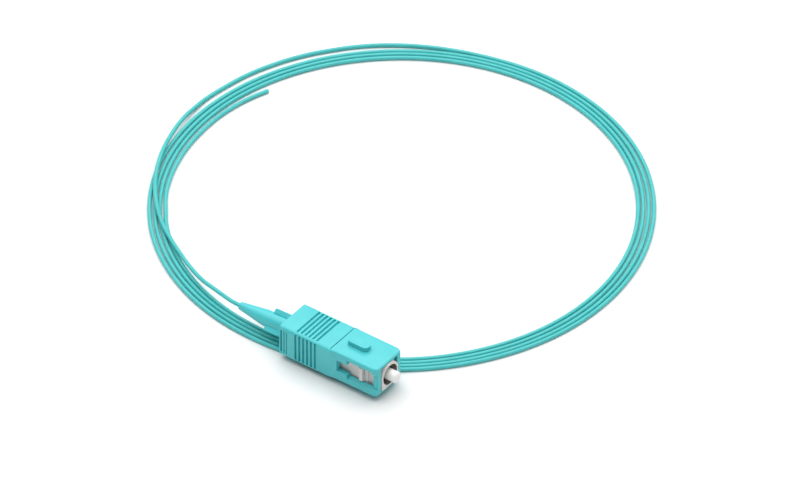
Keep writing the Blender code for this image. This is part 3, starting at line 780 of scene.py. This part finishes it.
def housing_windows():
    """Stepped windows through both side walls, and their sills that slope outwards."""
    bm = bmesh.new()
    inner = FRAME_WIDTH / 2
    outer = HOUSING_WIDTH / 2 + OVERSHOOT
    middle = (WINDOW_TOP + WINDOW_BOTTOM) / 2
    slot_top = middle + SLOT_HEIGHT / 2
    slot_bottom = middle - SLOT_HEIGHT / 2
    sill_top = WINDOW_BOTTOM + WINDOW_SILL_RISE
    wide_back = WINDOW_STATION + WINDOW_LENGTH
    slot_back = wide_back + SLOT_LENGTH
    outline = [
        (WINDOW_STATION, WINDOW_TOP), (wide_back, WINDOW_TOP), (wide_back, slot_top),
        (slot_back, slot_top), (slot_back, slot_bottom), (wide_back, slot_bottom),
        (wide_back, sill_top), (WINDOW_STATION, sill_top),
    ]
    for side in SIDES:
        points = [(along(station), side * inner, z) for station, z in outline]
        prism(bm, points, (0, side * (outer - inner), 0))
    slope = WINDOW_SILL_RISE / (HOUSING_WIDTH / 2 - CAVITY_WIDTH / 2)
    sill_outer_z = sill_top - slope * (outer - CAVITY_WIDTH / 2)
    sill = bmesh.new()
    for side in SIDES:
        wedge = [(CAVITY_WIDTH / 2, sill_top), (outer, sill_outer_z), (outer, sill_top)]
        points = [(along(WINDOW_STATION), side * y, z) for y, z in wedge]
        prism(sill, points, (-WINDOW_LENGTH, 0, 0))
    return finish_piece("window_form", bm, []), finish_piece("sill_form", sill, [])


def housing_grooves():
    """Grip grooves across the top, the bottom and both sides."""
    bm = bmesh.new()
    top_half = GRIP_WIDTH / 2 - GROOVE_TOP_MARGIN
    side_low = GRIP_BOTTOM + GROOVE_SIDE_MARGIN
    side_high = HOUSING_TOP - GROOVE_SIDE_MARGIN
    groove_floor = GRIP_WIDTH / 2 - GROOVE_DEPTH
    beyond = GRIP_WIDTH / 2 + OVERSHOOT
    for index in range(GROOVE_COUNT):
        front = along(GROOVE_STATION + index * GROOVE_PITCH)
        back = front - GROOVE_WIDTH
        for low_z, high_z in (
            (HOUSING_TOP - GROOVE_DEPTH, HOUSING_TOP + OVERSHOOT),
            (GRIP_BOTTOM - OVERSHOOT, GRIP_BOTTOM + GROOVE_DEPTH),
        ):
            box_between(bm, (back, -top_half, low_z), (front, top_half, high_z))
        for side in SIDES:
            low_y, high_y = sorted((side * groove_floor, side * beyond))
            box_between(bm, (back, low_y, side_low), (front, high_y, side_high))
    return finish_piece("groove_form", bm, [])


def housing_seam():
    """Narrow seam across the top, where the grip begins."""
    bm = bmesh.new()
    over_y = GRIP_WIDTH / 2 + OVERSHOOT
    low = (along(SEAM_STATION + SEAM_WIDTH), -over_y, HOUSING_TOP - SEAM_DEPTH)
    high = (along(SEAM_STATION), over_y, HOUSING_TOP + OVERSHOOT)
    box_between(bm, low, high)
    return finish_piece("seam_form", bm, [])


def side_cut(name, start, end, face_y, depth, low_z, high_z):
    """Shallow rectangular cut in both side faces, between two stations and two heights."""
    bm = bmesh.new()
    for side in SIDES:
        low_y, high_y = sorted((side * (face_y - depth), side * (face_y + OVERSHOOT)))
        box_between(bm, (along(end), low_y, low_z), (along(start), high_y, high_z))
    return finish_piece(name, bm, [])


def build_housing(materials):
    """Aqua shell with key, cavity, windows, seam, grip grooves and side relief."""
    housing = housing_envelope()
    shape_with(housing, housing_key(), "UNION")
    shape_with(housing, housing_cavity(), "DIFFERENCE")
    for form in (*housing_windows(), housing_grooves(), housing_seam()):
        shape_with(housing, form, "DIFFERENCE")
    grip_face = GRIP_WIDTH / 2
    pocket_heights = (GRIP_BOTTOM + POCKET_END_MARGIN, HOUSING_TOP - POCKET_END_MARGIN)
    recess_heights = (WINDOW_BOTTOM + WINDOW_SILL_RISE, WINDOW_TOP - WINDOW_SILL_RISE)
    pocket_back = POCKET_STATION + POCKET_LENGTH
    slits = []
    for width, back in zip(POCKET_SLIT_WIDTHS, POCKET_SLIT_BACKS):
        slit_back = POCKET_STATION + back
        slits.append((
            "slit_form", slit_back - width, slit_back, grip_face, POCKET_SLIT_DEPTH, pocket_heights,
        ))
    recess_back = WINDOW_STATION + WINDOW_SILL_RISE
    for name, start, end, face_y, depth, heights in (
        ("pocket_form", POCKET_STATION, pocket_back, grip_face, POCKET_DEPTH, pocket_heights),
        *slits,
        (
            "recess_form", PILLAR_RECESS_STATION, recess_back, HOUSING_WIDTH / 2, PILLAR_RECESS_DEPTH,
            recess_heights,
        ),
    ):
        shape_with(housing, side_cut(name, start, end, face_y, depth, *heights), "DIFFERENCE")
    dress(housing, materials["aqua_plastic"], "shell", "outer_housing")
    round_edges(housing)


def dress(piece, material, body, node):
    """Give a finished piece its material and body, and hide the CAD node that it stands for."""
    piece.data.materials.clear()
    piece.data.materials.append(material)
    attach(piece, body)
    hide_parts(node)


# Plug frame, ferrule and boot

def frame_outline(width, top, top_radius):
    """Cross-section of the plug frame: square foot and a rounded top."""
    return rounded_outline(
        width, top, -FRAME_TOP, top_radius, FRAME_BOTTOM_RADIUS, FRAME_CORNER_STEPS,
    )


def build_plug_frame(materials):
    """Ivory inner body with its bores, web and latch ribs. The bore walls get a darker ivory as painted
    shade.
    """
    bm = bmesh.new()
    arch = frame_outline(FRAME_ARCH_WIDTH, FRAME_ARCH_TOP, FRAME_ARCH_RADIUS)
    trunk = frame_outline(FRAME_WIDTH, FRAME_TOP, FRAME_TOP_RADIUS)
    loft_sections(bm, [
        (FRAME_FRONT, arch), (FRAME_ARCH_LENGTH, arch),
        (FRAME_ARCH_LENGTH + FRAME_ARCH_STEP, trunk), (FRAME_BACK, trunk),
    ])
    body = finish_piece("inner_frame", bm, [])
    ribs = bmesh.new()
    root = FRAME_WIDTH / 2 - RIB_PROUD / 2
    crest = FRAME_WIDTH / 2 + RIB_PROUD
    rib_back = RIB_STATION + RIB_LENGTH
    outline = [
        (RIB_STATION, root), (RIB_STATION, FRAME_WIDTH / 2), (RIB_STATION + RIB_RAMP, crest),
        (rib_back, crest), (rib_back, root),
    ]
    for side in SIDES:
        points = [(along(station), side * y, -RIB_HEIGHT / 2) for station, y in outline]
        prism(ribs, points, (0, 0, RIB_HEIGHT))
    shape_with(body, finish_piece("rib_form", ribs, []), "UNION")
    bore = FRAME_BORE / 2
    hole = WEB_HOLE / 2
    profile = [
        (-OVERSHOOT, 0.0), (-OVERSHOOT, bore), (FRONT_BORE_FLOOR, bore), (FRONT_BORE_FLOOR, hole),
        (WEB_BACK, hole), (WEB_BACK, bore), (FRAME_BACK + OVERSHOOT, bore), (FRAME_BACK + OVERSHOOT, 0.0),
    ]
    shape_with(body, turned_on_axis("frame_bore_form", profile, False), "DIFFERENCE")
    dress(body, materials["ivory_plastic"], "plug", "plug_frame")
    # Faces round the bore walls take the darker ivory: painted shade where the deep bore lies in shadow
    body.data.materials.append(materials["ivory_painted_shade"])
    for face in body.data.polygons:
        distance = math.hypot(face.center.y, face.center.z) / MM
        if abs(face.normal.x) < ROUND_NORMAL_SHARE and distance < bore + FACE_TOLERANCE:
            face.material_index = 1
    round_edges(body)


def build_ferrule(materials):
    """White ceramic ferrule with the bonded glass fibre at the centre of its polished tip."""
    tip = HOUSING_HIGH.x - FERRULE_HIGH.x
    back = HOUSING_HIGH.x - FERRULE_LOW.x
    chamfer = FERRULE_TIP_CHAMFER
    edge = FERRULE_EDGE_ROUND
    land = FERRULE_RADIUS - chamfer
    profile = [
        (tip, 0.0), (tip, BONDED_FIBRE_RADIUS), (tip, BOND_RADIUS), (tip, land - edge),
        (tip + edge * 0.3, land - edge * 0.3), (tip + edge, land + edge * 0.7),
        (tip + chamfer - edge, FERRULE_RADIUS - edge * 0.7),
        (tip + chamfer - edge * 0.3, FERRULE_RADIUS - edge * 0.2),
        (tip + chamfer + edge * 0.6, FERRULE_RADIUS), (back - edge, FERRULE_RADIUS),
        (back, FERRULE_RADIUS - edge), (back, 0.0),
    ]
    ferrule = turned_on_axis("ferrule_rod", profile, False)
    dress(ferrule, materials["ceramic"], "ferrule", "ferrule")
    ferrule.data.materials.append(materials["glass_core"])
    ferrule.data.materials.append(materials["epoxy_ring"])
    for face in ferrule.data.polygons:
        distance = math.hypot(face.center.y, face.center.z) / MM
        at_tip = abs(face.center.x / MM - along(tip)) < FACE_TOLERANCE
        if at_tip and distance < BONDED_FIBRE_RADIUS:
            face.material_index = 1
        elif at_tip and distance < BOND_RADIUS:
            face.material_index = 2


def boot_profile():
    """Profile (station, radius) of the boot's round body, before it sags."""
    core_back = BOOT_COLLAR_BACK + BOOT_CORE_LENGTH
    core_end = core_back - BOOT_SHOULDER_ROUND
    socket_back = BOOT_FRONT + BOOT_SOCKET_DEPTH
    run = core_end - BOOT_COLLAR_BACK
    bends = [BOOT_COLLAR_BACK + run * step / BOOT_BEND_STEPS for step in range(BOOT_BEND_STEPS + 1)]
    points = [
        (BOOT_FRONT, BOOT_SOCKET_RADIUS), (BOOT_FRONT, BOOT_COLLAR_RADIUS),
        (BOOT_COLLAR_BACK, BOOT_COLLAR_RADIUS),
    ]
    points += [(station, BOOT_CORE_RADIUS) for station in bends]
    slope = (BOOT_CORE_RADIUS - BOOT_TIP_RADIUS) / (BOOT_BACK - BOOT_TIP_ROUND - core_back)
    for step in range(1, CORNER_STEPS):
        share = step / CORNER_STEPS
        station = core_end + 2 * BOOT_SHOULDER_ROUND * share
        points.append((station, BOOT_CORE_RADIUS - slope * BOOT_SHOULDER_ROUND * share ** 2))
    points.append((core_back + BOOT_SHOULDER_ROUND, BOOT_CORE_RADIUS - slope * BOOT_SHOULDER_ROUND))
    for step in range(CORNER_STEPS + 1):
        angle = math.radians(90.0 * step / CORNER_STEPS)
        station = BOOT_BACK - BOOT_TIP_ROUND * (1 - math.sin(angle))
        points.append((station, BOOT_TIP_RADIUS - BOOT_TIP_ROUND * (1 - math.cos(angle))))
    points.append((BOOT_BACK, BOOT_BORE_RADIUS))
    points += [(station, BOOT_BORE_RADIUS) for station in reversed(bends)]
    return points + [(socket_back, BOOT_BORE_RADIUS), (socket_back, BOOT_SOCKET_RADIUS)]


def build_boot(materials):
    """Boot: collar, and a core, a cone and two fingers that sag a little."""
    boot = turned_on_axis("strain_boot", boot_profile(), True, BOOT_SAG)
    finger_front = BOOT_COLLAR_BACK - FINGER_ROOT
    bm = bmesh.new()
    upper_inner = UPPER_FINGER_OUTER_RADIUS - UPPER_FINGER_THICKNESS
    for roll_degrees, inner, outer, length in (
        (FINGER_ROLL_DEGREES, upper_inner, UPPER_FINGER_OUTER_RADIUS, UPPER_FINGER_LENGTH),
        (
            FINGER_ROLL_DEGREES + 180.0, LOWER_FINGER_INNER_RADIUS, LOWER_FINGER_OUTER_RADIUS,
            LOWER_FINGER_LENGTH,
        ),
    ):
        finger_back = BOOT_COLLAR_BACK + length
        outline = [(finger_front, inner), (finger_front, outer)]
        for step in range(CORNER_STEPS + 1):
            angle = math.radians(90.0 * step / CORNER_STEPS)
            station = finger_back - FINGER_END_ROUND * (1 - math.sin(angle))
            outline.append((station, outer - FINGER_END_ROUND * (1 - math.cos(angle))))
        outline.append((finger_back, inner))
        turn = Matrix.Rotation(math.radians(roll_degrees), 4, "X")
        points = [turn @ Vector((along(station), y, -FINGER_WIDTH / 2)) for station, y in outline]
        prism(bm, points, turn @ Vector((0, 0, FINGER_WIDTH)))
    sag_form(bm, FINGER_SAG)
    shape_with(boot, finish_piece("finger_form", bm, []), "UNION")
    dress(boot, materials["aqua_plastic"], "plug", "boot")
    round_edges(boot)


def dress_carried_nodes(materials):
    """Better finishes on the hidden CAD pieces. The spring gets its own copy of its mesh."""
    for node, slot in (
        ("rear_body", "ivory_plastic"), ("ferrule_flange", "nickel_plate"),
        ("spring", "spring_steel"),
    ):
        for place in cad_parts[node].material_slots:
            place.material = materials[slot]
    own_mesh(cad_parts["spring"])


def build_all():
    """Camera and fibre first, then the plug's pieces, the finishes and the studio."""
    materials = build_materials()
    build_camera()
    build_fibre(materials)
    build_housing(materials)
    build_plug_frame(materials)
    build_ferrule(materials)
    build_boot(materials)
    dress_carried_nodes(materials)
    build_floor()
    build_studio()


build_all()
